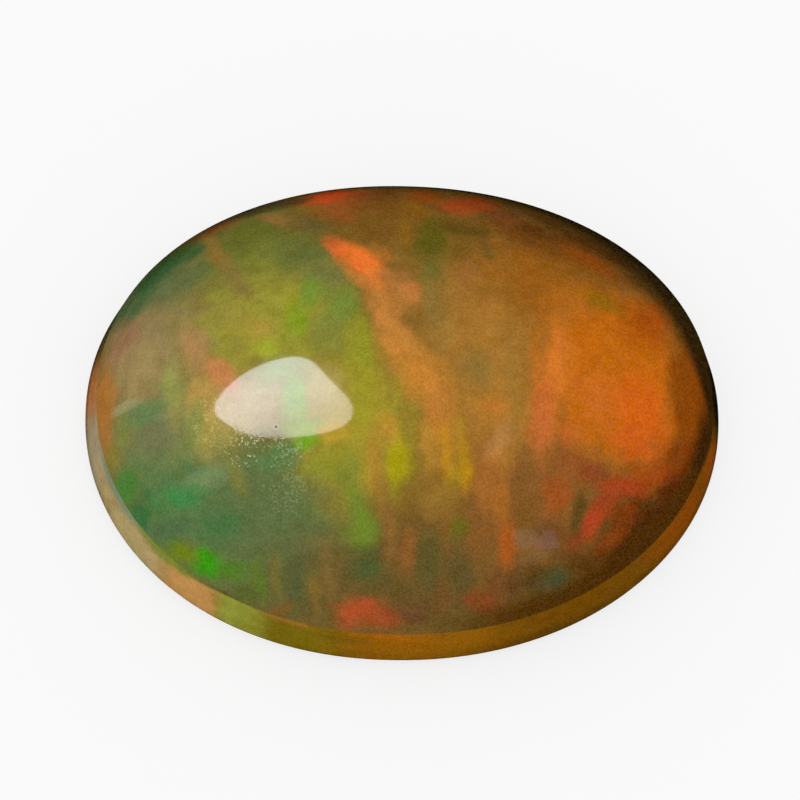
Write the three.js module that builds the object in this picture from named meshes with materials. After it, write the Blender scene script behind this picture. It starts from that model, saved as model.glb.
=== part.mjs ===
// An oval opal cabochon: one stone with a polished dome, a steep wall under it and a flat base.
// It rests on its base, with +X along its length, +Y across it and +Z up through the dome.
// The origin is the centre of the flat base, and every size is in millimetres.

import * as THREE from "three";

// The oval, seen from above. Hand grinding leaves it fuller than an ellipse and a little lopsided.
const LENGTH = 14;
const WIDTH = 11;
const FULLNESS = 2.09; // exponent of the oval, 2 for a true ellipse
const SWELL = 0.0315; // share by which the +Y side is longer, and the -Y side shorter
const TAPER = 0.0158; // share by which the +X end is narrower, and the -X end wider

// The profile, from the base up. An inset is a share of the oval's own radius.
const BEVEL_HEIGHT = 0.3; // from the flat base up to the girdle, the widest line
const BEVEL_INSET = 0.045;
const WALL_HEIGHT = 1.03; // from the girdle up to the crease where the dome begins
const WALL_INSET = 0.036;
const DOME_RISE = 2.94; // from the crease up to the top of the dome
const DOME_SPAN = 0.96; // share of a half ellipse that the dome's curve uses, so its edge still slopes
const DOME_SHIFT = 0.053; // the dome sits this far towards +X of the base

const SIDES = 96; // steps around the stone
const BEVEL_STEPS = 4;
const WALL_STEPS = 2;
const DOME_STEPS = 22;

const OPAL_COLOUR = 0x8f6428; // warm brown, the mean of the green and orange flashes

// One coordinate of a superellipse: a cosine or sine, pushed outwards by the fullness.
function swollen(value) {
  return Math.sign(value) * Math.abs(value) ** (2 / FULLNESS);
}

// The oval's outline at an angle, as a point from the centre.
function outline(angle) {
  const across = Math.sin(angle);
  const along = Math.cos(angle);
  return new THREE.Vector2(
    (LENGTH / 2) * swollen(along) * (1 + SWELL * across),
    (WIDTH / 2) * swollen(across) * (1 - TAPER * along),
  );
}

// The rounded bevel from the edge of the flat base out to the girdle, a quarter of an ellipse.
function bevelProfile() {
  return Array.from({ length: BEVEL_STEPS + 1 }, (_, i) => {
    const turn = ((i / BEVEL_STEPS) * Math.PI) / 2;
    return new THREE.Vector2(
      1 - BEVEL_INSET * (1 - Math.sin(turn)),
      BEVEL_HEIGHT * (1 - Math.cos(turn)),
    );
  });
}

// The wall, which leans inwards from the girdle to the crease so that a setting can hold it.
function wallProfile() {
  return Array.from({ length: WALL_STEPS }, (_, i) => {
    const share = (i + 1) / WALL_STEPS;
    return new THREE.Vector2(
      1 - WALL_INSET * share,
      BEVEL_HEIGHT + WALL_HEIGHT * share,
    );
  });
}

// The dome, a stretch of half ellipse from the crease up to the top, with its last point on the axis.
function domeProfile() {
  const edge = Math.sqrt(1 - DOME_SPAN ** 2);
  return Array.from({ length: DOME_STEPS }, (_, i) => {
    const share = Math.cos((((i + 1) / DOME_STEPS) * Math.PI) / 2);
    const out = i + 1 === DOME_STEPS ? 0 : share;
    const rise = (Math.sqrt(1 - (DOME_SPAN * out) ** 2) - edge) / (1 - edge);
    return new THREE.Vector2(
      (1 - WALL_INSET) * out,
      BEVEL_HEIGHT + WALL_HEIGHT + DOME_RISE * rise,
    );
  });
}

// How far towards +X the stone has shifted at a height: none at the girdle, all of it from the crease up.
function shiftAt(height) {
  const share = (height - BEVEL_HEIGHT) / WALL_HEIGHT;
  return DOME_SHIFT * THREE.MathUtils.clamp(share, 0, 1);
}

// A round lathe of unit radius, pulled out to the oval.
function cabochonGeometry() {
  const profile = [
    new THREE.Vector2(0, 0),
    ...bevelProfile(),
    ...wallProfile(),
    ...domeProfile(),
  ];
  const geometry = new THREE.LatheGeometry(profile, SIDES);
  geometry.rotateX(Math.PI / 2);
  const position = geometry.getAttribute("position");
  for (let i = 0; i < position.count; i++) {
    const [x, y, z] = [position.getX(i), position.getY(i), position.getZ(i)];
    const point = outline(Math.atan2(y, x)).multiplyScalar(Math.hypot(x, y));
    position.setXYZ(i, point.x + shiftAt(z), point.y, z);
  }
  geometry.computeVertexNormals();
  return geometry;
}

function cabochon() {
  const polish = new THREE.MeshStandardMaterial({
    color: OPAL_COLOUR,
    roughness: 0.08,
    metalness: 0,
  });
  const stone = new THREE.Mesh(cabochonGeometry(), polish);
  stone.name = "opal_cabochon";
  return stone;
}

const part = new THREE.Group();
part.add(cabochon());

export default part;
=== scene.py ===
"""An oval opal cabochon with play of colour, on a pale floor under soft studio light.

The stone is one piece: a dome, a crease, an inward-leaning wall, a small rounded bevel and a flat base. +X
runs along it, +Y across it and +Z up, with the origin at the centre of the base. Lengths are in metres, and
those that are written in millimetres are multiplied by MM.
"""

import math
from collections import namedtuple

import bpy
import numpy as np
from mathutils import Matrix, Vector


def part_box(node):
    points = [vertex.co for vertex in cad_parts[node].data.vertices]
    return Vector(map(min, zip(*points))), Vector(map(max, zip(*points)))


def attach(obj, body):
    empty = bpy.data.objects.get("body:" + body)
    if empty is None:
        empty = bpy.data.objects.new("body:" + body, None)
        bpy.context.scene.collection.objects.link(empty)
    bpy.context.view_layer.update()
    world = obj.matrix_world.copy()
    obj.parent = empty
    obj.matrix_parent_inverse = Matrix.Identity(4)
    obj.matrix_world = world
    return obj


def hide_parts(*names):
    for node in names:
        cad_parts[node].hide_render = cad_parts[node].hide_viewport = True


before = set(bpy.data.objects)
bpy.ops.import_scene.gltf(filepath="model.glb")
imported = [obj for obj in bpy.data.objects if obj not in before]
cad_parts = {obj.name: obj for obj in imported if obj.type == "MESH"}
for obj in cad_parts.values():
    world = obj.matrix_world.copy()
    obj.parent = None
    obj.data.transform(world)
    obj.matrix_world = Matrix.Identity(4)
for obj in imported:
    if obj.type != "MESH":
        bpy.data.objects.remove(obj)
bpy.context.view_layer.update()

bl_info = {
    "name": "Opal Cabochon",
    "version": (1, 0, 0),
    "blender": (4, 5, 0),
    "location": "3D View > Sidebar > Opal",
    "description": "Builds a polished oval opal cabochon and a small studio round it",
    "category": "Add Mesh",
}

MM = 0.001
NODE = "opal_cabochon"
LOW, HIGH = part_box(NODE)

# Rings of the stone's skin over its base, its bevel and its dome.
BASE_RINGS, BEVEL_RINGS, DOME_RINGS = 14, 10, 120

# Noise that pushes the flashes about: the size of its lumps, its detail, and how far it pushes.
PUSHES = ((1.3 * MM, 2.0, 0.36 * MM), (0.35 * MM, 3.0, 0.2 * MM))

# The sizes of the other patterns. The grain and the powder's specks are really finer than a pixel of the
# picture, about 0.02 mm, so they are drawn as coarse as they need to show.
WISP, MOTTLE, CLUMP = 0.42 * MM, 0.3 * MM, 0.24 * MM
GRAIN, SPECK = 0.05 * MM, 0.046 * MM
SPECK_HEIGHT = 0.0012 * MM

# The pit's place and reach, and the middle and reach of the powder that stands up, in millimetres.
PIT, PIT_REACH = (-2.638, -1.54), (0.08, 0.08)
DUST, DUST_REACH = (-3.4, -2.0), (1.7, 0.9)

# The painted shade at the rim: the direction in which it reaches in furthest, how much further it does so
# there, where it begins as a share of the dome, and how dark it gets.
RIM_TOWARDS, RIM_LEAN, RIM_START, RIM_PAINTED_SHADE = (0.574, 0.819, 0), 0.308, 1.15, 0.94

# From the dome to the panels that show in its polish.
PANEL_DISTANCE = 120 * MM

# A patch of colour in the stone, seen from above: its centre and half sizes in millimetres, its turn in
# degrees anticlockwise, its colour, the share of its size over which its edge fades, and its strength.
Flash = namedtuple("Flash", "name at size turn colour fade strength", defaults=(1.0, 1.0))

# Broad grounds come first, and what is listed later lies over what is listed before it.
DOME_FLASHES = (
    # The grey hazes at the left are the stone's colour with a painted sheen laid into it, the soft reflection
    # of a broad light.
    Flash("grey brown with painted sheen at the left", (-5.3, 1.0), (1.5, 1.9), -15, "#8d7a4e", 1.6),
    Flash("green over the upper left", (-3.3, 2.9), (1.8, 1.3), 10, "#636a2c", 1.6),
    Flash("yellow green belly", (-2.8, 0.8), (1.5, 1.5), 0, "#948f33", 1.6),
    Flash("grey at the left", (-5.0, -1.4), (1.4, 0.9), 0, "#7a7e4b", 1.6),
    Flash("gold at the left", (-3.9, -1.3), (0.8, 0.9), 0, "#b0984a", 1.6),
    Flash("grey teal at the lower left", (-4.4, -2.9), (1.7, 1.1), -25, "#567746", 1.6),
    Flash("grey green at the lower middle", (-2.5, -3.3), (1.6, 1.6), -10, "#5e6e40", 1.2),
    Flash("gold under the highlight", (-0.9, -1.5), (1.2, 1.6), 0, "#9e8e2c", 1.2),
    Flash("olive brown at the bottom", (0.4, -4.5), (2.6, 0.9), 0, "#665228", 1.6),
    Flash("brown at the top", (-0.6, 3.8), (1.6, 0.9), 0, "#764f1b", 1.6),
    Flash("brown at the upper right", (3.0, 3.3), (2.3, 0.9), -15, "#5b3510", 1.6),
    Flash("olive amber beside the vein", (1.3, 1.5), (1.1, 1.8), 5, "#966b2c", 1.6),
    Flash("amber in the middle", (2.0, -0.6), (1.1, 1.6), 0, "#aa752d", 1.6),
    Flash("brown at the lower middle", (2.4, -3.2), (1.5, 1.3), 0, "#845626", 1.6),
    Flash("orange brown above", (3.0, 2.0), (1.4, 0.9), -10, "#945a18", 1.6),
    Flash("great orange flash", (4.5, 0.0), (1.6, 1.9), -5, "#bb6410", 0.8),
    Flash("dark red brown at the lower right", (5.3, -3.1), (1.7, 0.75), 42, "#4c2a08", 1.0),
    # The upper left.
    Flash("teal rim", (-5.65, 2.4), (1.1, 0.4), 50, "#2f5e38", 1.5, 0.9),
    Flash("dark green rim", (-5.0, 3.15), (0.95, 0.34), 40, "#355628", 1.5, 0.85),
    Flash("pink at the left rim", (-6.1, 1.0), (0.3, 0.5), -20, "#946a4c", 1.7, 0.85),
    # Painted sheen: the pink grey and grey green hazes here carry a soft reflection painted into the stone's
    # colour.
    Flash("pink grey with painted sheen", (-5.7, 0.2), (0.6, 0.65), -10, "#a08a58", 1.8, 0.8),
    Flash("orange left edge", (-6.5, -0.3), (0.26, 0.9), 2, "#a86f30", 1.2, 0.95),
    Flash("grey green with painted sheen", (-4.9, 2.3), (0.7, 0.45), 30, "#606b41", 1.7, 0.8),
    Flash("dark green streak", (-5.1, 2.85), (0.7, 0.14), 32, "#3a5c34", 1.5, 0.8),
    Flash("brown streak from the rim", (-4.1, 2.95), (0.7, 0.17), -66, "#8c6a2f", 1.4, 0.9),
    Flash("streak's tail", (-3.65, 2.0), (0.6, 0.2), -58, "#837038", 1.5, 0.8),
    Flash("red brown at the rim", (-4.2, 3.95), (0.6, 0.24), 28, "#884c22", 1.5, 0.85),
    Flash("olive green patch", (-3.4, 3.35), (0.45, 0.35), 10, "#636424", 1.7, 0.85),
    Flash("dark olive at the rim", (-3.1, 4.35), (0.9, 0.22), 15, "#403a20", 1.7, 0.85),
    Flash("brown smear", (-2.7, 3.72), (0.5, 0.17), -24, "#8a6634", 1.4, 0.85),
    Flash("dark green nick", (-2.0, 3.45), (0.4, 0.22), -15, "#62542a", 1.6, 0.85),
    Flash("grey green eye", (-2.25, 2.65), (0.5, 0.45), 0, "#606833", 1.7, 0.85),
    Flash("green under the eye", (-1.6, 2.0), (0.5, 0.35), -20, "#747640", 1.7, 0.8),
    Flash("olive by the vein", (-1.75, 2.1), (0.35, 0.2), -30, "#707038", 1.6, 0.8),
    Flash("green smudge", (-3.8, 1.15), (0.35, 0.35), 0, "#948b3b", 1.7, 0.7),
    Flash("green patch above the light", (-3.45, 0.85), (0.3, 0.3), 0, "#a09036", 1.7, 0.7),
    Flash("amber patch above the light", (-3.1, 0.65), (0.26, 0.3), -10, "#a8903a", 1.5, 0.85),
    Flash("lime at the light's edge", (-2.95, 0.25), (0.3, 0.2), 0, "#9fa42e", 1.5, 0.85),
    Flash("olive gap", (-2.4, 1.2), (0.14, 0.4), -12, "#948c27", 1.5, 0.7),
    Flash("upper green lick", (-1.95, 1.55), (0.24, 0.42), -6, "#708a30", 1.5, 0.9),
    Flash("lower green lick", (-2.3, 0.8), (0.24, 0.42), -6, "#7e951f", 1.5, 0.9),
    Flash("green shade", (-1.3, 1.1), (0.34, 0.5), 10, "#708434", 1.5, 0.9),
    Flash("grey shade", (-1.7, 0.45), (0.35, 0.35), 0, "#788138", 1.7, 0.85),
    Flash("olive shade", (-1.35, 0.15), (0.3, 0.3), 0, "#848636", 1.7, 0.7),
    Flash("salmon streak above", (-4.42, 0.4), (0.24, 0.6), 22, "#ab8350", 1.6, 0.85),
    Flash("salmon streak below", (-3.85, -0.3), (0.24, 0.5), 32, "#c3804a", 1.4, 0.95),
    Flash("gold beside the streak", (-4.25, -0.75), (0.3, 0.4), 0, "#b5904a", 1.7, 0.8),
    Flash("green beside the streak", (-4.9, -0.3), (0.22, 0.5), 10, "#92944d", 1.5, 0.9),
    Flash("green by the tip", (-4.45, -1.3), (0.22, 0.45), -10, "#7f8944", 1.5, 0.9),
    Flash("yellow green strip", (-0.85, 0.1), (0.26, 0.7), 0, "#909228", 1.7, 0.85),
    Flash("lime strip", (-0.85, -1.0), (0.22, 0.6), 0, "#9a9227", 1.5, 0.9),
    # Under the highlight.
    Flash("pale pink under the light", (-3.1, -1.0), (0.7, 0.5), 0, "#b09a6a", 1.6, 0.8),
    Flash("pale tan under the light", (-1.75, -0.9), (0.5, 0.5), 0, "#b0a062", 1.6, 0.8),
    Flash("pale green above", (-2.7, -0.3), (0.35, 0.25), 0, "#94a056", 1.6, 0.85),
    Flash("pale green streak", (-2.2, -1.1), (0.26, 0.6), 0, "#86a552", 1.8, 0.85),
    Flash("green at the light's foot", (-2.0, -1.6), (0.4, 0.18), 4, "#86a444", 1.6, 0.85),
    # The orange vein, from the top to the middle.
    Flash("red at the top", (-1.7, 4.55), (0.7, 0.42), -2, "#c0461b", 1.4, 0.95),
    Flash("dark olive at the top left", (-2.5, 4.5), (0.35, 0.24), 15, "#503f1e", 1.5, 0.85),
    Flash("red brown under the top", (-1.5, 3.85), (0.45, 0.35), -20, "#904f20", 1.7, 0.8),
    Flash("brown beside the top", (-0.9, 4.4), (0.4, 0.3), 0, "#7a421c", 1.7, 0.8),
    Flash("dark olive between", (-0.4, 4.55), (0.35, 0.3), 0, "#6a3f17", 1.7, 0.85),
    Flash("dark olive over the vein", (-0.75, 3.45), (0.3, 0.3), -30, "#74521c", 1.7, 0.8),
    Flash("orange brown wedge", (-0.5, 2.55), (0.3, 0.2), -35, "#ac6c28", 1.5, 0.85),
    Flash("vein head", (-1.4, 2.72), (0.42, 0.22), -44, "#c4602d", 1.0, 0.95),
    Flash("vein glow", (-0.92, 2.27), (0.62, 0.33), -46, "#e8732c", 1.1, 0.96),
    Flash("vein's lower edge", (-0.95, 1.8), (0.3, 0.14), -42, "#b87c36", 1.4, 0.85),
    Flash("vein under the glow", (-0.55, 1.75), (0.42, 0.28), -50, "#d97a34", 1.2, 0.9),
    Flash("vein shoulder", (-0.1, 1.75), (0.42, 0.26), -30, "#a46c34", 1.2, 0.9),
    Flash("vein branch", (0.2, 1.5), (0.24, 0.18), -35, "#ba7038", 1.2, 0.85),
    Flash("brown in the vein", (-0.05, 1.35), (0.3, 0.26), -40, "#bd7a38", 1.6, 0.8),
    Flash("vein middle", (-0.33, 0.9), (0.55, 0.27), -68, "#c27e3a", 1.4, 0.9),
    Flash("vein bend", (-0.06, 0.2), (0.55, 0.36), -55, "#c68338", 1.5, 0.9),
    Flash("vein belly", (0.5, -0.52), (0.6, 0.42), -50, "#c88230", 1.4, 0.9),
    Flash("vein foot", (0.85, -1.15), (0.5, 0.24), -75, "#bf7c34", 1.4, 0.85),
    Flash("vein's last drop", (0.8, -1.75), (0.3, 0.22), -80, "#bf7b2f", 1.5, 0.8),
    # The top and the upper right.
    Flash("amber under the top", (0.2, 3.9), (0.26, 0.35), 0, "#875a18", 1.7, 0.8),
    Flash("orange thread", (-0.05, 3.15), (0.45, 0.13), -78, "#865e1a", 1.5, 0.8),
    Flash("dark olive hollow", (0.6, 2.95), (0.42, 0.7), -6, "#5a5415", 1.2, 0.92),
    Flash("dark green nook", (1.3, 3.35), (0.5, 0.28), -8, "#584515", 1.5, 0.85),
    Flash("olive below the hollow", (0.6, 2.05), (0.22, 0.45), 5, "#686428", 1.6, 0.85),
    Flash("grey olive strip", (0.7, 1.2), (0.24, 0.6), 8, "#896d33", 1.6, 0.85),
    Flash("grey olive end", (0.9, 0.45), (0.2, 0.35), -30, "#9e7634", 1.6, 0.8),
    Flash("orange near the top", (0.4, 4.55), (0.35, 0.26), 0, "#8a420e", 1.5, 0.9),
    Flash("red at the top right", (1.15, 4.1), (0.42, 0.27), -8, "#98441a", 1.1, 0.9),
    Flash("dull red strip", (1.6, 4.4), (0.5, 0.26), -12, "#983a15", 1.5, 0.9),
    Flash("dull red spot", (2.2, 3.75), (0.26, 0.3), -25, "#74401e", 1.5, 0.8),
    Flash("orange smudge", (1.3, 2.6), (0.3, 0.45), 0, "#6c501a", 1.6, 0.8),
    Flash("dark fleck", (1.85, 2.75), (0.12, 0.3), 10, "#665020", 1.6, 0.7),
    Flash("salmon smudge", (1.35, 2.05), (0.22, 0.35), 0, "#99642e", 1.6, 0.8),
    Flash("salmon drop", (1.8, 1.2), (0.14, 0.22), 0, "#a66d2e", 1.6, 0.7),
    Flash("olive cloud", (1.55, -0.25), (0.34, 0.45), 0, "#8a6d32", 1.6, 0.85),
    Flash("olive drift", (2.35, -0.3), (0.26, 0.7), 0, "#9a702e", 1.6, 0.8),
    Flash("orange spot", (1.95, -1.0), (0.26, 0.2), 0, "#b7712a", 1.6, 0.7),
    Flash("orange red by the rim", (4.1, 2.85), (0.7, 0.26), -24, "#884510", 1.5, 0.85),
    Flash("olive in the orange", (4.35, 1.75), (0.5, 0.24), -14, "#8e6210", 1.5, 0.85),
    Flash("orange shoulder", (3.45, 1.4), (0.32, 0.5), 0, "#ae671e", 1.6, 0.85),
    Flash("orange tongue", (3.35, 0.0), (0.34, 0.8), 0, "#cf752a", 1.5, 0.85),
    Flash("red orange at the upper rim", (5.3, 1.5), (0.6, 0.6), 20, "#9e4808", 1.4, 0.9),
    Flash("orange heart", (4.3, -0.6), (0.5, 0.5), 0, "#c86a24", 1.7, 0.8),
    Flash("orange glow", (5.2, -0.65), (0.6, 0.72), 5, "#cf5f16", 1.5, 0.95),
    Flash("red in the glow", (5.05, -1.4), (0.5, 0.35), 0, "#c85a1a", 1.6, 0.85),
    Flash("salmon edge", (3.0, -1.2), (0.24, 0.8), 0, "#c46830", 1.4, 0.9),
    Flash("brown edge", (6.28, 0), (0.46, 1.35), 4, "#874304", 0.7, 0.95),
    Flash("brown edge below", (6.1, -1.5), (0.45, 0.6), -38, "#7c3806", 1.0, 0.9),
    # The lower right.
    Flash("orange tail", (5.4, -1.95), (0.55, 0.22), 14, "#a2440f", 1.4, 0.85),
    Flash("brown hollow", (3.75, -2.05), (0.5, 0.34), -10, "#935224", 1.6, 0.9),
    Flash("brown hollow's end", (4.3, -2.2), (0.4, 0.2), 5, "#864220", 1.6, 0.8),
    Flash("orange above the hollow", (3.55, -1.45), (0.35, 0.24), 0, "#be6626", 1.7, 0.85),
    Flash("olive above the hollow", (4.0, -1.75), (0.3, 0.15), 0, "#a06020", 1.7, 0.8),
    Flash("orange brown below", (3.35, -2.7), (0.3, 0.35), 0, "#a05020", 1.6, 0.85),
    Flash("red end", (4.85, -2.3), (0.5, 0.17), 10, "#a23d19", 1.2, 0.9),
    Flash("red diagonal", (4.35, -2.7), (0.42, 0.2), 50, "#9c401e", 1.2, 0.9),
    Flash("red heart", (4.15, -3.15), (0.3, 0.16), 66, "#a8411f", 1.2, 0.95),
    Flash("red root", (3.8, -3.5), (0.26, 0.16), 26, "#843f1d", 1.5, 0.85),
    Flash("orange brown under the red", (4.8, -2.75), (0.35, 0.2), 35, "#803b10", 1.5, 0.85),
    Flash("dark olive slot", (3.85, -2.98), (0.36, 0.13), 78, "#5a4219", 1.4, 0.9),
    Flash("brown by the corner", (3.85, -3.85), (0.35, 0.2), 12, "#5a3812", 1.5, 0.85),
    Flash("orange drip", (2.3, -3.75), (0.2, 0.36), 0, "#a4561d", 1.3, 0.95),
    Flash("orange drip above", (2.15, -2.9), (0.16, 0.5), 2, "#a46424", 1.5, 0.85),
    Flash("amber drip", (2.15, -1.8), (0.22, 0.5), 0, "#b47a31", 1.7, 0.85),
    Flash("red brown by the gold", (1.85, -2.5), (0.2, 0.6), 0, "#a8682c", 1.6, 0.8),
    Flash("olive brown drip", (2.7, -3.2), (0.18, 0.4), 0, "#7a5420", 1.6, 0.8),
    Flash("gold flash above", (1.25, -1.7), (0.15, 0.35), 0, "#a97d26", 1.5, 0.85),
    Flash("gold flash", (1.4, -2.3), (0.17, 0.45), 0, "#b48419", 1.6, 0.92),
    Flash("yellow green by the gold", (1.1, -2.55), (0.18, 0.35), 0, "#9c801e", 1.5, 0.85),
    Flash("amber between", (0.98, -2.1), (0.16, 0.5), 0, "#bb8422", 1.6, 0.85),
    Flash("grey olive between", (0.6, -2.05), (0.2, 0.5), 0, "#b28230", 1.6, 0.85),
    Flash("lime flash", (-0.03, -2.35), (0.24, 0.42), 0, "#a49814", 1.6, 0.95),
    Flash("amber by the lime", (-0.3, -1.7), (0.26, 0.3), 0, "#b88a30", 1.5, 0.9),
    Flash("orange gold by the lime", (-0.55, -2.3), (0.18, 0.5), 0, "#ac8230", 1.5, 0.85),
    Flash("orange brown by the lime", (-0.4, -3.0), (0.16, 0.4), 6, "#98702c", 1.6, 0.8),
    Flash("gold under the light", (-1.45, -1.75), (0.28, 0.22), 0, "#b2942e", 1.5, 0.9),
    Flash("yellow green under the light", (-1.6, -2.4), (0.4, 0.32), 0, "#898a2a", 1.6, 0.85),
    Flash("olive green under the light", (-1.1, -2.6), (0.2, 0.4), 0, "#7a8230", 1.6, 0.8),
    Flash("dark green under the light", (-2.65, -2.15), (0.42, 0.3), 0, "#5c7c46", 1.5, 0.85),
    Flash("green lip", (-1.95, -1.9), (0.26, 0.17), 0, "#74a220", 1.3, 0.92),
    # The bottom.
    Flash("green wedge above", (-0.9, -3.2), (0.2, 0.3), 10, "#6f842c", 1.5, 0.85),
    Flash("green wedge", (-0.8, -3.65), (0.34, 0.32), 10, "#6c822a", 1.3, 0.92),
    Flash("dark green foot", (-0.65, -4.25), (0.42, 0.26), 0, "#4a582e", 1.6, 0.85),
    Flash("brown trail", (-0.2, -3.6), (0.16, 0.5), 8, "#8e6330", 1.5, 0.85),
    Flash("brown trail's end", (0.2, -4.0), (0.17, 0.4), 4, "#8e5a28", 1.5, 0.85),
    Flash("brown patch", (-1.5, -3.85), (0.4, 0.16), 0, "#706636", 1.6, 0.8),
    Flash("brown fleck", (-1.45, -4.35), (0.16, 0.4), 14, "#7c6232", 1.5, 0.8),
    Flash("gold fleck", (-1.75, -4.65), (0.16, 0.22), 0, "#80652c", 1.5, 0.85),
    Flash("red patch", (-0.78, -4.98), (0.46, 0.22), 0, "#b04f29", 1.4, 0.95),
    Flash("red patch's end", (-0.3, -5.12), (0.4, 0.15), 0, "#9c4b25", 1.4, 0.95),
    Flash("dark green spot", (0.7, -4.1), (0.26, 0.5), 0, "#5c5428", 1.4, 0.9),
    Flash("brown above the spot", (0.85, -3.0), (0.4, 0.35), 0, "#93702c", 1.6, 0.85),
    Flash("green spot", (1.28, -3.55), (0.17, 0.24), 0, "#6e651e", 1.4, 0.9),
    Flash("olive shadow", (1.3, -4.35), (0.24, 0.5), 0, "#5c4f28", 1.4, 0.9),
    Flash("brown between the shadows", (0.95, -4.75), (0.16, 0.26), 0, "#704c23", 1.6, 0.8),
    Flash("dull red by the crease", (0.35, -4.95), (0.4, 0.2), 0, "#6a4426", 1.6, 0.8),
    Flash("red brown foot", (1.8, -4.72), (0.42, 0.18), 6, "#80441f", 1.3, 0.92),
    Flash("red brown above the foot", (2.1, -4.4), (0.2, 0.26), 0, "#704622", 1.5, 0.85),
    Flash("brown by the foot", (2.5, -4.4), (0.2, 0.3), 0, "#5c3c1c", 1.5, 0.85),
    Flash("dark corner", (2.9, -4.3), (0.26, 0.26), 0, "#4a3818", 1.5, 0.85),
    Flash("dark green corner", (3.4, -4.2), (0.32, 0.24), 15, "#3a421e", 1.5, 0.9),
    Flash("brown above the corner", (3.25, -3.55), (0.35, 0.35), 0, "#6a4422", 1.6, 0.8),
    # The left and the lower left.
    Flash("orange tan left edge", (-6.46, -0.95), (0.18, 0.35), 10, "#a27238", 1.2, 0.9),
    Flash("olive gold left edge", (-6.25, -1.45), (0.2, 0.3), 14, "#867834", 1.4, 0.9),
    Flash("olive by the edge", (-6.0, -0.9), (0.16, 0.4), 6, "#7c813c", 1.5, 0.8),
    Flash("dark green blob", (-5.5, -0.8), (0.42, 0.27), 8, "#667f4d", 1.1, 0.92),
    Flash("grey brown under the blob", (-5.2, -1.4), (0.5, 0.3), 0, "#70704c", 1.7, 0.75),
    Flash("pale grey patch", (-4.1, -2.45), (0.45, 0.22), 6, "#768a5a", 1.5, 0.85),
    Flash("olive brown by the dust", (-3.55, -2.4), (0.16, 0.45), 26, "#7c7a3c", 1.5, 0.85),
    Flash("green at the edge", (-5.9, -2.15), (0.26, 0.32), 20, "#487c34", 1.4, 0.92),
    Flash("dark teal edge", (-5.55, -2.7), (0.32, 0.26), 10, "#3a6d3a", 1.4, 0.9),
    Flash("teal streak", (-4.7, -2.72), (0.55, 0.2), -10, "#428344", 1.4, 0.92),
    Flash("teal spot", (-3.8, -3.3), (0.4, 0.26), -10, "#46703f", 1.6, 0.85),
    Flash("grey teal slot", (-4.9, -3.2), (0.4, 0.14), -20, "#526a44", 1.5, 0.88),
    Flash("pure green", (-4.05, -3.92), (0.36, 0.2), -18, "#359406", 1.3, 0.97),
    Flash("green above", (-4.6, -3.62), (0.36, 0.13), -28, "#6e7f14", 1.4, 0.9),
    Flash("green to the right", (-3.5, -4.12), (0.3, 0.16), -8, "#527a24", 1.4, 0.88),
    Flash("yellow green by the crease", (-5.05, -3.6), (0.36, 0.13), -42, "#6c7e18", 1.4, 0.88),
    Flash("olive gold by the crease", (-4.7, -3.92), (0.3, 0.1), -38, "#6e8020", 1.4, 0.88),
    Flash("dark brown by the crease", (-3.75, -4.6), (0.5, 0.13), -24, "#4e4018", 1.4, 0.88),
    Flash("green curl", (-2.95, -4.3), (0.14, 0.34), 14, "#5e7228", 1.4, 0.88),
    Flash("dark green by the curl", (-3.2, -4.55), (0.22, 0.16), -20, "#566226", 1.5, 0.85),
    Flash("brown curl", (-2.6, -4.3), (0.12, 0.3), 12, "#706731", 1.5, 0.85),
    Flash("dark green gap", (-2.2, -4.5), (0.2, 0.4), 0, "#525a32", 1.6, 0.8),
    Flash("red brown by the crease", (-2.65, -4.9), (0.42, 0.1), 14, "#785828", 1.4, 0.88),
    Flash("red brown by the right crease", (5.92, -2.07), (0.55, 0.2), 40, "#542505", 1.2, 0.9),
    Flash("red brown glint by the corner", (4.55, -3.3), (0.4, 0.14), 40, "#8a4216", 1.4, 0.75),
)

# The wall has its own run of colours. Its flashes are placed by degrees round the stone, from 0 at the near
# side to +90 at the right end and -90 at the left, and by millimetres above the base.
WALL_FLASHES = (
    Flash("green brown at the far left", (-125, 0.8), (22, 1.4), 0, "#5a5c34", 1.6),
    Flash("red brown at the far side", (160, 0.8), (16, 1.4), 0, "#6e3814", 1.6),
    Flash("orange brown left end", (-93, 0.9), (8, 1.2), 0, "#c07c46", 1.4),
    Flash("grey tan", (-79, 0.7), (9, 1.2), 0, "#ab9a77", 1.2),
    Flash("tan", (-58, 0.6), (14, 1.2), 0, "#b29d69", 1.2),
    Flash("orange tan", (-40.5, 0.75), (7, 1.2), 0, "#c08e50", 1.1),
    Flash("yellow green", (-28.3, 0.7), (5.4, 1.2), 0, "#929638", 0.8),
    Flash("olive", (-17, 0.7), (9, 1.2), 0, "#76640e", 1.4),
    Flash("amber", (6, 0.8), (15, 1.2), 0, "#905c08", 1.4),
    Flash("dark amber", (38, 0.8), (16, 1.2), 0, "#724802", 1.5),
    Flash("orange brown", (64, 0.8), (11, 1.2), 0, "#884804", 1.4),
    Flash("warm right end", (81, 0.6), (6, 0.5), 0, "#9a4c14", 1.4, 0.9),
    Flash("dark right end", (101, 0.7), (13, 1.6), 0, "#241a08", 0.8),
    # A paler strip under the crease at the left, which is painted light, and a darker foot at the right,
    # which is painted shade.
    Flash("grey painted light under the crease", (-66, 1.28), (10, 0.23), 0, "#808c70", 1.0),
    Flash("green strip under the crease", (-47, 1.3), (10, 0.2), 0, "#7a8430", 1.2, 0.92),
    Flash("dark olive under the crease", (-38, 1.33), (4, 0.13), 0, "#625c1c", 1.2, 0.9),
    Flash("orange brown under the crease", (-20, 1.32), (4, 0.14), 0, "#a06c2c", 1.4, 0.8),
    Flash("orange under the crease", (0, 1.25), (6, 0.25), 0, "#a8600f", 1.6, 0.7),
    Flash("dark red brown under the crease", (84, 1.3), (7, 0.22), 0, "#3e220a", 1.2, 0.9),
    # Painted shade: the wall's foot at the right is painted darker, next to the floor.
    Flash("painted shade at the foot", (38, 0.2), (30, 0.35), 0, "#583c04", 1.6, 0.8),
)
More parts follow.
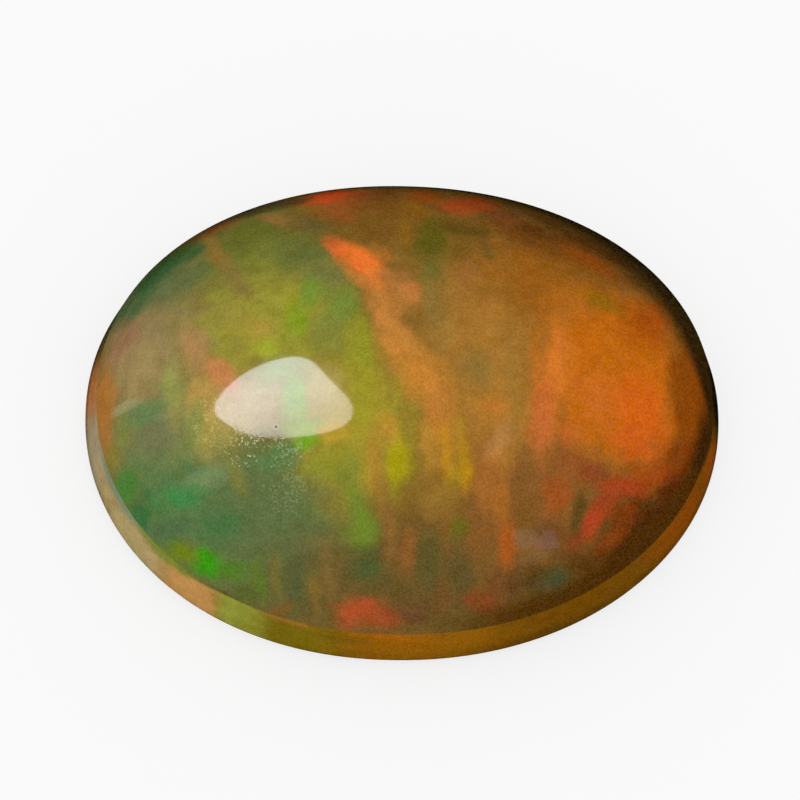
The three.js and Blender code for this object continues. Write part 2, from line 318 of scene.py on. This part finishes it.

# Specks of powder from the polishing lie in clusters round the highlight's left tip and under the highlight.
# Their pale colour is partly painted glint, where the specks catch the softbox.
DUST_AND_GLINT_FLASHES = (
    Flash("yellow specks at the tip", (-4.08, -1.2), (0.36, 0.42), 0, "#cdbd6c", 1.4, 0.6),
    Flash("yellow specks below the tip", (-3.65, -1.8), (0.55, 0.3), -20, "#b8ad60", 1.4, 0.5),
    Flash("white specks", (-3.3, -2.0), (0.28, 0.26), 0, "#c8cca0", 1.4, 0.7),
    Flash("white specks to the right", (-2.45, -2.05), (0.5, 0.26), 0, "#a8c090", 1.4, 0.42),
    Flash("faint specks", (-2.3, -2.75), (0.55, 0.45), 0, "#94986a", 1.4, 0.5),
)


def linear(colour):
    """An sRGB hex colour as linear red, green and blue with an alpha of 1."""
    shares = [int(colour[i : i + 2], 16) / 255 for i in (1, 3, 5)]
    return [c / 12.92 if c <= 0.04045 else ((c + 0.055) / 1.055) ** 2.4 for c in shares] + [1.0]


def colour_property(name, description, colour):
    return bpy.props.FloatVectorProperty(
        name=name, description=description, subtype="COLOR", size=4, min=0, max=1, default=linear(colour)
    )


def length_property(name, description, default):
    return bpy.props.FloatProperty(
        name=name, description=description, default=default, min=0, unit="LENGTH", precision=5
    )


def share_property(name, description, default, top=1.0):
    return bpy.props.FloatProperty(name=name, description=description, default=default, min=0, max=top)


class OpalShape(bpy.types.PropertyGroup):
    """The stone's cut."""

    length: length_property("Length", "Longest size of the oval", HIGH.x - LOW.x)
    width: length_property("Width", "Size across the oval", HIGH.y - LOW.y)
    height: length_property("Height", "From the flat base to the top of the dome", HIGH.z - LOW.z)
    fullness: share_property("Fullness", "Exponent of the oval, 2 for a true ellipse", 2.09, 4.0)
    swell: share_property("Swell", "Share by which the far side is longer than the near side", 0.0315)
    taper: share_property("Taper", "Share by which the right end is narrower than the left end", 0.0158)
    bevel_height: length_property("Bevel Height", "From the base to the girdle", 0.3 * MM)
    bevel_inset: share_property("Bevel Inset", "Share of the oval that the bevel takes off the base", 0.045)
    wall_height: length_property("Wall Height", "From the girdle to the crease", 1.03 * MM)
    wall_inset: share_property("Wall Inset", "Share of the oval that the wall leans inwards", 0.036)
    dome_span: share_property("Dome Span", "Share of a half ellipse that the dome's curve uses", 0.96)
    dome_shift: length_property("Dome Shift", "How far the dome sits towards the right end", 0.053 * MM)
    polish: share_property("Polish", "Share of the oval over which polishing has rounded the crease", 0.006)
    sides: bpy.props.IntProperty(name="Sides", description="Steps round the stone", default=320, min=24)


class OpalLook(bpy.types.PropertyGroup):
    """The stone's colour and finish."""

    body: colour_property("Body", "Colour of the stone between its flashes", "#7a5c26")
    wall: colour_property("Wall", "Colour of the wall between its flashes", "#6e4d0a")
    gloss: share_property("Gloss Roughness", "Roughness of the polished surface", 0.05)
    ground: share_property("Base Roughness", "Roughness of the finely ground base", 0.45)


class OpalStudio(bpy.types.PropertyGroup):
    """The floor, the lights and the camera."""

    floor: colour_property("Floor", "Colour of the floor", "#7c7c7c")
    glow: share_property("Glow", "Strength of the light that comes up through the floor", 0.745, 10.0)
    sky: share_property("Sky", "Strength of the even light from all round", 1.06, 10.0)
    lens: bpy.props.FloatProperty(name="Lens", description="Focal length", default=199.0, unit="CAMERA")
    distance: length_property("Distance", "From the camera to the centre of the base", 98 * MM)
    azimuth: bpy.props.FloatProperty(
        name="Azimuth",
        description="Turn of the camera round the stone",
        default=math.radians(1.14),
        subtype="ANGLE",
    )
    elevation: bpy.props.FloatProperty(
        name="Elevation", description="Height of the camera's view", default=math.radians(68), subtype="ANGLE"
    )


def add(tree, kind, settings=None, links=None):
    """Adds one node, sets its settings, and sets or links its inputs by name or number."""
    node = tree.nodes.new(kind)
    for name, value in (settings or {}).items():
        setattr(node, name, value)
    for socket, value in (links or {}).items():
        if isinstance(value, bpy.types.NodeSocket):
            tree.links.new(value, node.inputs[socket])
        else:
            node.inputs[socket].default_value = value
    return node


def oval(angles, shape):
    """Points of the oval outline: a superellipse whose far side is a little longer than its near side, and
    whose right end is a little narrower than its left end, brought back to the oval's full length and
    width."""
    along, across = np.cos(angles), np.sin(angles)
    power = 2 / shape.fullness
    x = shape.length / 2 * np.sign(along) * np.abs(along) ** power * (1 + shape.swell * across)
    y = shape.width / 2 * np.sign(across) * np.abs(across) ** power * (1 - shape.taper * along)
    return x * shape.length / np.ptp(x), y * shape.width / np.ptp(y)


def rounded(before, corner, after, steps=6):
    """A corner rounded off by a parabola that leaves the two straight or curved runs along their own
    directions."""
    t = np.linspace(0, 1, steps)[:, None]
    return (1 - t) ** 2 * before + 2 * t * (1 - t) * corner + t**2 * after


def profile(shape):
    """The cut from the centre of the base to the top of the dome, as share of the oval and height. The base
    is level, the bevel is a quarter ellipse, the wall is straight, and the dome is a stretch of half
    ellipse."""
    crease = 1 - shape.wall_inset
    crease_height = shape.bevel_height + shape.wall_height
    turn = np.linspace(0, np.pi / 2, BEVEL_RINGS)
    base = np.stack([np.linspace(0, 1 - shape.bevel_inset, BASE_RINGS), np.zeros(BASE_RINGS)], 1)[:-1]
    bevel = np.stack(
        [1 - shape.bevel_inset * (1 - np.sin(turn)), shape.bevel_height * (1 - np.cos(turn))], 1
    )
    edge = math.sqrt(1 - shape.dome_span**2)
    rise = shape.height - crease_height

    def dome_height(share):
        return crease_height + rise * (np.sqrt(1 - (shape.dome_span * share) ** 2) - edge) / (1 - edge)

    def wall_point(share):
        return [1 - shape.wall_inset * share, shape.bevel_height + shape.wall_height * share]

    # Polishing takes more off the wall's top than off the dome's foot.
    reach = shape.polish
    wall = np.array([wall_point(share) for share in (0.33, 0.66)])
    below = np.array(wall_point(1 - reach * 2.5))
    above = np.array([crease * (1 - reach), dome_height(1 - reach)])
    corner = rounded(below, np.array([crease, crease_height]), above)
    shares = np.cos(np.linspace(math.acos(1 - reach), np.pi / 2, DOME_RINGS))[1:]
    shares[-1] = 0
    dome = np.stack([crease * shares, dome_height(shares)], 1)
    return np.concatenate([base, bevel, wall, corner, dome])


def opal_mesh(shape):
    """The stone's skin as a function of two parameters, the angle round the oval and the step along the
    profile: the oval at that angle times the profile's share, at the profile's height, with the dome moved
    along X. The first and the last step are single points, closed by fans of triangles."""
    run = profile(shape)
    rings = run[1:-1]
    angles = np.linspace(0, 2 * np.pi, shape.sides, endpoint=False)
    x, y = oval(angles, shape)
    lean = np.clip((rings[:, 1] - shape.bevel_height) / shape.wall_height, 0, 1) * shape.dome_shift
    points = np.stack(
        [
            rings[:, :1] * x + lean[:, None],
            rings[:, :1] * y,
            np.broadcast_to(rings[:, 1:], (len(rings), shape.sides)),
        ],
        -1,
    ).reshape(-1, 3)
    poles = np.array([[0, 0, run[0, 1]], [shape.dome_shift, 0, run[-1, 1]]])
    bottom, top = len(points), len(points) + 1
    step = np.arange(shape.sides)
    after = (step + 1) % shape.sides
    ring = np.arange(len(rings) - 1)[:, None] * shape.sides
    quads = np.stack([ring + step, ring + after, ring + shape.sides + after, ring + shape.sides + step], -1)
    last = (len(rings) - 1) * shape.sides
    faces = quads.reshape(-1, 4).tolist()
    faces += np.stack([after, step, np.full(shape.sides, bottom)], 1).tolist()
    faces += np.stack([last + step, last + after, np.full(shape.sides, top)], 1).tolist()
    mesh = bpy.data.meshes.new("opal")
    mesh.from_pydata(np.concatenate([points, poles]).tolist(), [], faces)
    mesh.validate()
    mesh.shade_smooth()
    return mesh


def flash_group():
    """A node group that lays one flash over a colour: an ellipse in the stone, seen from above, that fades
    out."""
    group = bpy.data.node_groups.new("Opal Flash", "ShaderNodeTree")
    for name, kind in (
        ("Point", "Vector"),
        ("Under", "Color"),
        ("Place", "Vector"),
        ("Turn", "Vector"),
        ("Size", "Vector"),
        ("Fade", "Float"),
        ("Strength", "Float"),
        ("Wisp", "Float"),
        ("Colour", "Color"),
    ):
        group.interface.new_socket(name, in_out="INPUT", socket_type=f"NodeSocket{kind}")
    group.interface.new_socket("Colour", in_out="OUTPUT", socket_type="NodeSocketColor")
    given = group.nodes.new("NodeGroupInput").outputs
    mapped = add(
        group,
        "ShaderNodeMapping",
        {"vector_type": "TEXTURE"},
        {
            "Vector": given["Point"],
            "Location": given["Place"],
            "Rotation": given["Turn"],
            "Scale": given["Size"],
        },
    )
    inside = add(group, "ShaderNodeTexGradient", {"gradient_type": "SPHERICAL"}, {0: mapped.outputs[0]})
    ragged = maths(group, "MULTIPLY", inside.outputs["Fac"], given["Wisp"])
    much = ramp(group, ragged, 0, given["Fade"], 0, given["Strength"])
    laid = mixed(group, much, given["Under"], given["Colour"])
    result = group.nodes.new("NodeGroupOutput")
    group.links.new(laid, result.inputs[0])
    return group


def wisp_fields(tree, point):
    """Streaked noise, about 1 at its mean, that breaks a flash up along its own length, for four
    directions."""
    fields = {}
    for turn in (0, 45, 90, 135):
        streaks = add(
            tree,
            "ShaderNodeMapping",
            {"vector_type": "TEXTURE"},
            {"Vector": point, "Rotation": [0, 0, math.radians(turn)], "Scale": [2.2, 0.8, 1]},
        )
        fields[turn] = ramp(tree, noise(tree, streaks.outputs[0], WISP, 4.0), 0.28, 0.72, 0.72, 1.28)
    return fields


def nearest_turn(flash, turns):
    """The wisp direction nearest to a flash's long axis."""
    axis = flash.turn + (90 if flash.size[1] > flash.size[0] else 0)
    return min(turns, key=lambda turn: abs((axis - turn + 90) % 180 - 90))


def lay_flashes(tree, group, point, wisps, ground, flashes):
    """Lays a list of flashes over a ground colour, one after the other, and gives the last colour."""
    under = ground
    for flash in flashes:
        reach = 1 + flash.fade / 2
        half = [s * reach * MM for s in flash.size] + [1.0]
        laid = add(
            tree,
            "ShaderNodeGroup",
            {"node_tree": group, "label": flash.name, "hide": True},
            {
                "Point": point,
                "Under": under,
                "Place": [flash.at[0] * MM, flash.at[1] * MM, 0],
                "Turn": [0, 0, math.radians(flash.turn)],
                "Size": half,
                "Fade": flash.fade / reach,
                "Strength": flash.strength,
                "Wisp": wisps[nearest_turn(flash, wisps)],
                "Colour": linear(flash.colour),
            },
        )
        under = laid.outputs[0]
    return under


def noise(tree, point, size, detail=2.0, output="Fac"):
    """Noise whose lumps are about a size in metres."""
    node = add(tree, "ShaderNodeTexNoise", {}, {"Vector": point, "Scale": 1 / size, "Detail": detail})
    return node.outputs[output]


def ramp(tree, value, start, end, low=0.0, high=1.0):
    """A smooth rise of a value from low to high between start and end."""
    node = add(
        tree,
        "ShaderNodeMapRange",
        {"interpolation_type": "SMOOTHSTEP"},
        {"Value": value, "From Min": start, "From Max": end, "To Min": low, "To Max": high},
    )
    return node.outputs[0]


def mixed(tree, share, under, over):
    """A share of one colour over another."""
    return add(tree, "ShaderNodeMix", {"data_type": "RGBA"}, {0: share, 6: under, 7: over}).outputs[2]


def maths(tree, operation, *values):
    """One step of arithmetic."""
    return add(tree, "ShaderNodeMath", {"operation": operation}, dict(enumerate(values))).outputs[0]


def ball(tree, point, at, size):
    """A value that falls from 1 at a place in millimetres to 0 at an ellipse round it, seen from above."""
    spread = add(
        tree,
        "ShaderNodeMapping",
        {"vector_type": "TEXTURE"},
        {"Vector": point, "Location": [at[0] * MM, at[1] * MM, 0], "Scale": [size[0] * MM, size[1] * MM, 1]},
    )
    inside = add(tree, "ShaderNodeTexGradient", {"gradient_type": "SPHERICAL"}, {0: spread.outputs[0]})
    return inside.outputs["Fac"]


def polished_opal(shape, look):
    """Precious opal, cut as a cabochon and polished: colours lie as soft flashes in a warm brown body, under
    a clear gloss with a sharp highlight. Shade at the rims, over the near crease and at the wall's foot, and
    some sheen and glints, are painted into the colour. The wall is plainer, and the base is finely ground."""
    material = bpy.data.materials.new("polished precious opal")
    material.use_nodes = True
    tree = material.node_tree
    tree.nodes.clear()
    place = add(tree, "ShaderNodeTexCoord").outputs["Object"]
    level = add(tree, "ShaderNodeSeparateXYZ", {}, {0: place}).outputs

    # Two sizes of noise push the point about, so that the flashes have wisps and not plain round edges.
    pushed = place
    for size, detail, push in PUSHES:
        lumps = noise(tree, place, size, detail, "Color")
        centred = add(tree, "ShaderNodeVectorMath", {"operation": "SUBTRACT"}, {0: lumps, 1: [0.5] * 3})
        scaled = add(
            tree, "ShaderNodeVectorMath", {"operation": "SCALE"}, {0: centred.outputs[0], "Scale": push}
        )
        pushed = add(
            tree, "ShaderNodeVectorMath", {"operation": "ADD"}, {0: pushed, 1: scaled.outputs[0]}
        ).outputs[0]

    group = flash_group()
    wisps = wisp_fields(tree, place)
    dome = lay_flashes(tree, group, pushed, wisps, list(look.body), DOME_FLASHES)

    # Painted shade: the far rim and the right rim are painted dark, for the shade seen where the eye looks
    # through the clear edge of the dome. The painted shade reaches in furthest at the upper right, softly at
    # the far side and with a crisp edge at the right.
    spread = add(
        tree,
        "ShaderNodeMapping",
        {"vector_type": "TEXTURE"},
        {
            "Vector": place,
            "Location": [shape.dome_shift, 0, 0],
            "Scale": [*[size / 2 * (1 - shape.wall_inset) for size in (shape.length, shape.width)], 1e3],
        },
    ).outputs[0]
    ring = add(tree, "ShaderNodeVectorMath", {"operation": "LENGTH"}, {0: spread}).outputs["Value"]
    side = add(
        tree, "ShaderNodeVectorMath", {"operation": "DOT_PRODUCT"}, {0: spread, 1: RIM_TOWARDS}
    ).outputs["Value"]
    reach = maths(tree, "ADD", ring, maths(tree, "MULTIPLY", side, RIM_LEAN))
    softness = ramp(tree, level["Y"], 0, 4.2 * MM, 0.02, 0.13)
    starts = maths(tree, "SUBTRACT", RIM_START, softness)
    ends = maths(tree, "ADD", RIM_START, softness)
    dark = ramp(tree, reach, starts, ends, 0, RIM_PAINTED_SHADE)
    dome = mixed(tree, dark, dome, linear("#261904"))
    # More painted shade at the far rim, in dark olive.
    far = ramp(tree, level["Y"], 1 * MM, 4 * MM, 0, 0.45)
    dome = mixed(tree, maths(tree, "MULTIPLY", ramp(tree, ring, 0.93, 1.0), far), dome, linear("#242410"))

    # Painted shade over the near crease: from the middle to the right end, the dome is painted dark brown
    # there.
    near = maths(
        tree, "MULTIPLY", ramp(tree, level["Y"], 0.5 * MM, -0.6 * MM), ramp(tree, level["X"], 0, 3 * MM)
    )
    near_crease_shade = maths(tree, "MULTIPLY", ramp(tree, ring, 0.93, 0.98, 0, 0.92), near)
    brown = mixed(tree, ramp(tree, level["Y"], -2 * MM, -1.1 * MM), linear("#4a2c02"), linear("#301d04"))
    dome = mixed(tree, near_crease_shade, dome, brown)

    # Round the wall, the pattern runs by angle and height. A degree is drawn as a millimetre.
    parts = add(tree, "ShaderNodeSeparateXYZ", {}, {0: pushed}).outputs
    along = maths(tree, "DIVIDE", parts["X"], shape.length)
    nearer = maths(tree, "DIVIDE", parts["Y"], -shape.width)
    degrees = maths(tree, "MULTIPLY", maths(tree, "ARCTAN2", along, nearer), math.degrees(1) * MM)
    round_wall = add(tree, "ShaderNodeCombineXYZ", {}, {"X": degrees, "Y": parts["Z"]}).outputs[0]
    wall = lay_flashes(tree, group, round_wall, wisps, list(look.wall), WALL_FLASHES)
    # Painted shade: the wall is painted darker towards the base, next to the floor.
    wall = mixed(tree, ramp(tree, level["Z"], 0.35 * MM, 0.1 * MM, 0, 0.6), wall, linear("#1c1404"))

    on_wall = ramp(tree, level["Z"], 1.36 * MM, 1.31 * MM)
    colour = mixed(tree, on_wall, dome, wall)

    # Fine powder of worn polish, drawn in dots whose pale colour is partly painted glint, where the specks
    # catch the softbox. Each dot has a strength of its own, and they gather in clumps.
    dots = add(tree, "ShaderNodeTexVoronoi", {}, {"Vector": place, "Scale": 1 / SPECK}).outputs
    own = add(tree, "ShaderNodeSeparateColor", {}, {0: dots["Color"]}).outputs["Red"]
    specks = maths(tree, "MULTIPLY", ramp(tree, dots["Distance"], 0.75, 0.1), ramp(tree, own, 0.1, 1))
    clumps = ramp(tree, noise(tree, place, CLUMP), 0.36, 0.58, 0, 2.4)
    powder_and_glints = maths(tree, "MULTIPLY", specks, clumps)
    colour = lay_flashes(tree, group, place, {0: powder_and_glints}, colour, DUST_AND_GLINT_FLASHES)

    # Fine grain and a softer mottle.
    fleck = noise(tree, place, GRAIN, 1.0)
    mottle = ramp(tree, noise(tree, place, MOTTLE, 3.0), 0.3, 0.7, 0.93, 1.07)
    shade = maths(tree, "MULTIPLY", ramp(tree, fleck, 0.3, 0.7, 0.94, 1.06), mottle)
    haze = ramp(tree, fleck, 0.3, 0.7, -0.0085, 0.0085)
    colour = add(
        tree, "ShaderNodeVectorMath", {"operation": "MULTIPLY_ADD"}, {0: colour, 1: shade, 2: haze}
    ).outputs[0]

    # The specks stand a hair above the polish, so that some of them catch the light. A single tiny pit
    # reflects less, and its lip a little more; the lip is also painted pale as a painted highlight, and the
    # pit's middle is painted dark as painted shade. The base is finely ground, and less glossy.
    raised = maths(tree, "MULTIPLY", powder_and_glints, ramp(tree, ball(tree, place, DUST, DUST_REACH), 0, 0.5))
    bump = add(
        tree, "ShaderNodeBump", {}, {"Strength": 0.25, "Distance": SPECK_HEIGHT, "Height": raised}
    ).outputs[0]
    hollow = ball(tree, place, PIT, PIT_REACH)
    depth = ramp(tree, hollow, 0.5, 0.72)
    lip = ramp(tree, hollow, 0.08, 0.25)
    sheen = maths(tree, "SUBTRACT", ramp(tree, lip, 0, 1, 0.5, 0.52), ramp(tree, depth, 0, 1, 0, 0.25))
    # Painted highlight on the pit's lip, then painted shade in its middle.
    colour = mixed(tree, ramp(tree, lip, 0, 1, 0, 0.25), colour, linear("#c8c8b0"))
    colour = mixed(tree, depth, colour, linear("#2a2820"))
    rough = ramp(tree, level["Z"], 0.06 * MM, 0.01 * MM, look.gloss, look.ground)

    shader = add(
        tree,
        "ShaderNodeBsdfPrincipled",
        {},
        {
            "Base Color": colour,
            "Roughness": rough,
            "IOR": 1.45,
            "Specular IOR Level": sheen,
            "Normal": bump,
        },
    )
    add(tree, "ShaderNodeOutputMaterial", {}, {"Surface": shader.outputs[0]})
    return material


def light_table(studio):
    """A pale matte floor that glows a little, as the opal glass of a light table does, so that the stone's
    shadow stays faint."""
    material = bpy.data.materials.new("pale light table")
    material.use_nodes = True
    shader = material.node_tree.nodes["Principled BSDF"]
    shader.inputs["Base Color"].default_value = studio.floor
    shader.inputs["Roughness"].default_value = 0.9
    shader.inputs["Specular IOR Level"].default_value = 0
    shader.inputs["Emission Color"].default_value = (1, 1, 1, 1)
    shader.inputs["Emission Strength"].default_value = studio.glow
    return material


def place_object(name, data):
    made = bpy.data.objects.new(name, data)
    bpy.context.scene.collection.objects.link(made)
    return made


class MakeOpal(bpy.types.Operator):
    """Build the opal cabochon, with its colours and its polish"""

    bl_idname = "opal.make_stone"
    bl_label = "Make Opal"

    def execute(self, context):
        shape, look = context.scene.opal_shape, context.scene.opal_look
        stone = place_object("opal", opal_mesh(shape))
        stone.data.materials.append(polished_opal(shape, look))
        if len(stone.data.polygons) == 0:
            raise RuntimeError("the opal has no faces")
        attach(stone, "root")
        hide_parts(NODE)
        return {"FINISHED"}


def direction(azimuth, elevation):
    """The unit vector towards a place in the sky, with the azimuth anticlockwise from +X."""
    level = math.cos(elevation)
    return Vector((level * math.cos(azimuth), level * math.sin(azimuth), math.sin(elevation)))


def aimed(place, target):
    """A turn that makes an object's -Z point from a place to a target."""
    return (target - place).to_track_quat("-Z", "Y").to_matrix().to_4x4()


class SetStage(bpy.types.Operator):
    """Lay the floor, hang the lights and set the camera"""

    bl_idname = "opal.set_stage"
    bl_label = "Set Stage"

    def execute(self, context):
        studio = context.scene.opal_studio
        self.floor(studio)
        self.sky(context, studio)
        self.softbox()
        self.reflections()
        self.camera(context, studio)
        return {"FINISHED"}

    def floor(self, studio):
        half, drop = 1.5, 0.01 * MM
        mesh = bpy.data.meshes.new("floor")
        corners = [(-half, -half, -drop), (half, -half, -drop), (half, half, -drop), (-half, half, -drop)]
        mesh.from_pydata(corners, [], [(0, 1, 2, 3)])
        mesh.materials.append(light_table(studio))
        floor = place_object("floor", mesh)
        floor.visible_glossy = False

    def sky(self, context, studio):
        world = bpy.data.worlds.new("even studio light")
        context.scene.world = world
        world.use_nodes = True
        back = world.node_tree.nodes["Background"]
        back.inputs["Color"].default_value = (1, 1, 1, 1)
        back.inputs["Strength"].default_value = studio.sky
        world.cycles_visibility.glossy = False
        context.scene.view_settings.view_transform = "Standard"

    def softbox(self):
        """The main softbox, above the left end: a lens shape with two blunt tips, drawn as a smooth closed
        curve that touches the middle of each side of a polygon. It is cooler and brighter towards its far
        left, and pinker at its left end."""
        near_side = [(14, 39.5), (27, 19), (32.5, -10), (26, -29)]
        far_side = [(15, -46), (-8, -35), (-25, -18), (-34, 2), (-20, 17.5), (-4, 37.5)]
        corners = np.array(far_side + near_side)
        middles = (corners + np.roll(corners, -1, 0)) / 2
        runs = [
            rounded(before, corner, after, 12)[:-1]
            for before, corner, after in zip(np.roll(middles, 1, 0), corners, middles)
        ]

        def glow(tree, place):
            lean = add(
                tree, "ShaderNodeVectorMath", {"operation": "DOT_PRODUCT"}, {0: place, 1: [0.53, 0.85, 0]}
            ).outputs["Value"]
            share = ramp(tree, lean, -30 * MM, 38 * MM)
            cool = mixed(tree, share, linear("#e9f6ff"), linear("#fff0ec"))
            across = add(tree, "ShaderNodeSeparateXYZ", {}, {0: place}).outputs["Y"]
            tinted = mixed(tree, ramp(tree, across, -8 * MM, -34 * MM), cool, linear("#eae6f4"))
            return tinted, ramp(tree, share, 0, 1, 11.3, 7.8)

        self.panel("softbox", (163, 62), (-2.46, -0.98, 3.93), np.concatenate(runs), glow)

    def reflections(self):
        """Small dim panels that show only as faint patches in the polish."""
        turns = np.linspace(0, 2 * np.pi, 48, endpoint=False)
        for name, towards, at, half, colour, strength in (
            ("left pane", (-54.2, 29.2), (2.74, -3.62, 2.84), (10, 18), "#a4c8c8", 1.3),
            ("right pane", (-50.4, 24.5), (3.10, -3.61, 2.71), (10, 24), "#dcc0dc", 1.5),
            ("sill", (-55.5, 17.9), (2.92, -3.91, 2.54), (15, 8), "#c0c8b8", 0.8),
            ("low window", (-54.2, -3.0), (3.34, -4.24, 1.97), (13, 20), "#a8c4b8", 0.55),
            ("strip", (-17.2, 67.2), (2.12, -1.77, 3.86), (22, 7), "#d8d4c8", 1.2),
            ("left strip", (165.7, -1.3), (-5.98, -0.51, 2.24), (5, 36), "#d4e8d0", 1.8),
            ("left tick", (172.6, 20.8), (-5.18, -0.99, 2.81), (5, 12), "#dfe4d6", 0.8),
        ):

            def glow(tree, place, half=half, colour=colour, strength=strength):
                return linear(colour), ramp(tree, ball(tree, place, (0, 0), half), 0, 0.6, 0, strength)

            self.panel(name, towards, at, np.stack([np.cos(turns), np.sin(turns)], 1) * half, glow)

    def panel(self, name, towards, at, outline, glow):
        """A flat glowing panel, square to the line from a point of the dome, that lights nothing and shows
        only in the polish. The glow gives its colour and its strength."""
        out = direction(*[math.radians(turn) for turn in towards])
        centre = Vector(at) * MM + out * PANEL_DISTANCE
        sideways = Vector((0, 0, 1)).cross(out).normalized()
        upwards = out.cross(sideways)
        flat = np.concatenate([outline, np.zeros((len(outline), 1))], 1) * MM
        mesh = bpy.data.meshes.new(name)
        mesh.from_pydata(flat.tolist(), [], [list(range(len(flat)))])
        cloth = bpy.data.materials.new(f"{name} cloth")
        cloth.use_nodes = True
        tree = cloth.node_tree
        tree.nodes.clear()
        colour, strength = glow(tree, add(tree, "ShaderNodeTexCoord").outputs["Object"])
        lamp = add(tree, "ShaderNodeEmission", {}, {"Color": colour, "Strength": strength})
        add(tree, "ShaderNodeOutputMaterial", {}, {"Surface": lamp.outputs[0]})
        mesh.materials.append(cloth)
        made = place_object(name.replace(" ", "_"), mesh)
        made.matrix_world = (
            Matrix.Translation(centre) @ Matrix((sideways, upwards, out)).transposed().to_4x4()
        )
        made.visible_camera = made.visible_diffuse = made.visible_shadow = False

    def camera(self, context, studio):
        data = bpy.data.cameras.new("camera")
        data.lens = studio.lens
        data.clip_start, data.clip_end = 1 * MM, 10.0
        camera = place_object("camera", data)
        out = direction(studio.azimuth - math.pi / 2, studio.elevation)
        place = out * studio.distance
        aim = Vector((-0.05, 0.59, 0.24)) * MM
        camera.matrix_world = Matrix.Translation(place) @ aimed(place, aim)
        context.scene.camera = camera


class OpalPanel(bpy.types.Panel):
    """The opal's settings and steps"""

    bl_idname = "VIEW3D_PT_opal"
    bl_label = "Opal Cabochon"
    bl_space_type = "VIEW_3D"
    bl_region_type = "UI"
    bl_category = "Opal"

    def draw(self, context):
        for settings in ("opal_shape", "opal_look", "opal_studio"):
            box = self.layout.box()
            group = getattr(context.scene, settings)
            for name in group.__annotations__:
                box.prop(group, name)
        for step in STEPS:
            self.layout.operator(step.bl_idname)


STEPS = (MakeOpal, SetStage)
SETTINGS = {"opal_shape": OpalShape, "opal_look": OpalLook, "opal_studio": OpalStudio}


def register():
    for kind in (*SETTINGS.values(), *STEPS, OpalPanel):
        bpy.utils.register_class(kind)
    for name, kind in SETTINGS.items():
        setattr(bpy.types.Scene, name, bpy.props.PointerProperty(type=kind))


def unregister():
    for name in SETTINGS:
        delattr(bpy.types.Scene, name)
    for kind in (OpalPanel, *STEPS, *SETTINGS.values()):
        bpy.utils.unregister_class(kind)


def main():
    register()
    for step in STEPS:
        area, name = step.bl_idname.split(".")
        getattr(getattr(bpy.ops, area), name)()


if __name__ == "__main__":
    main()
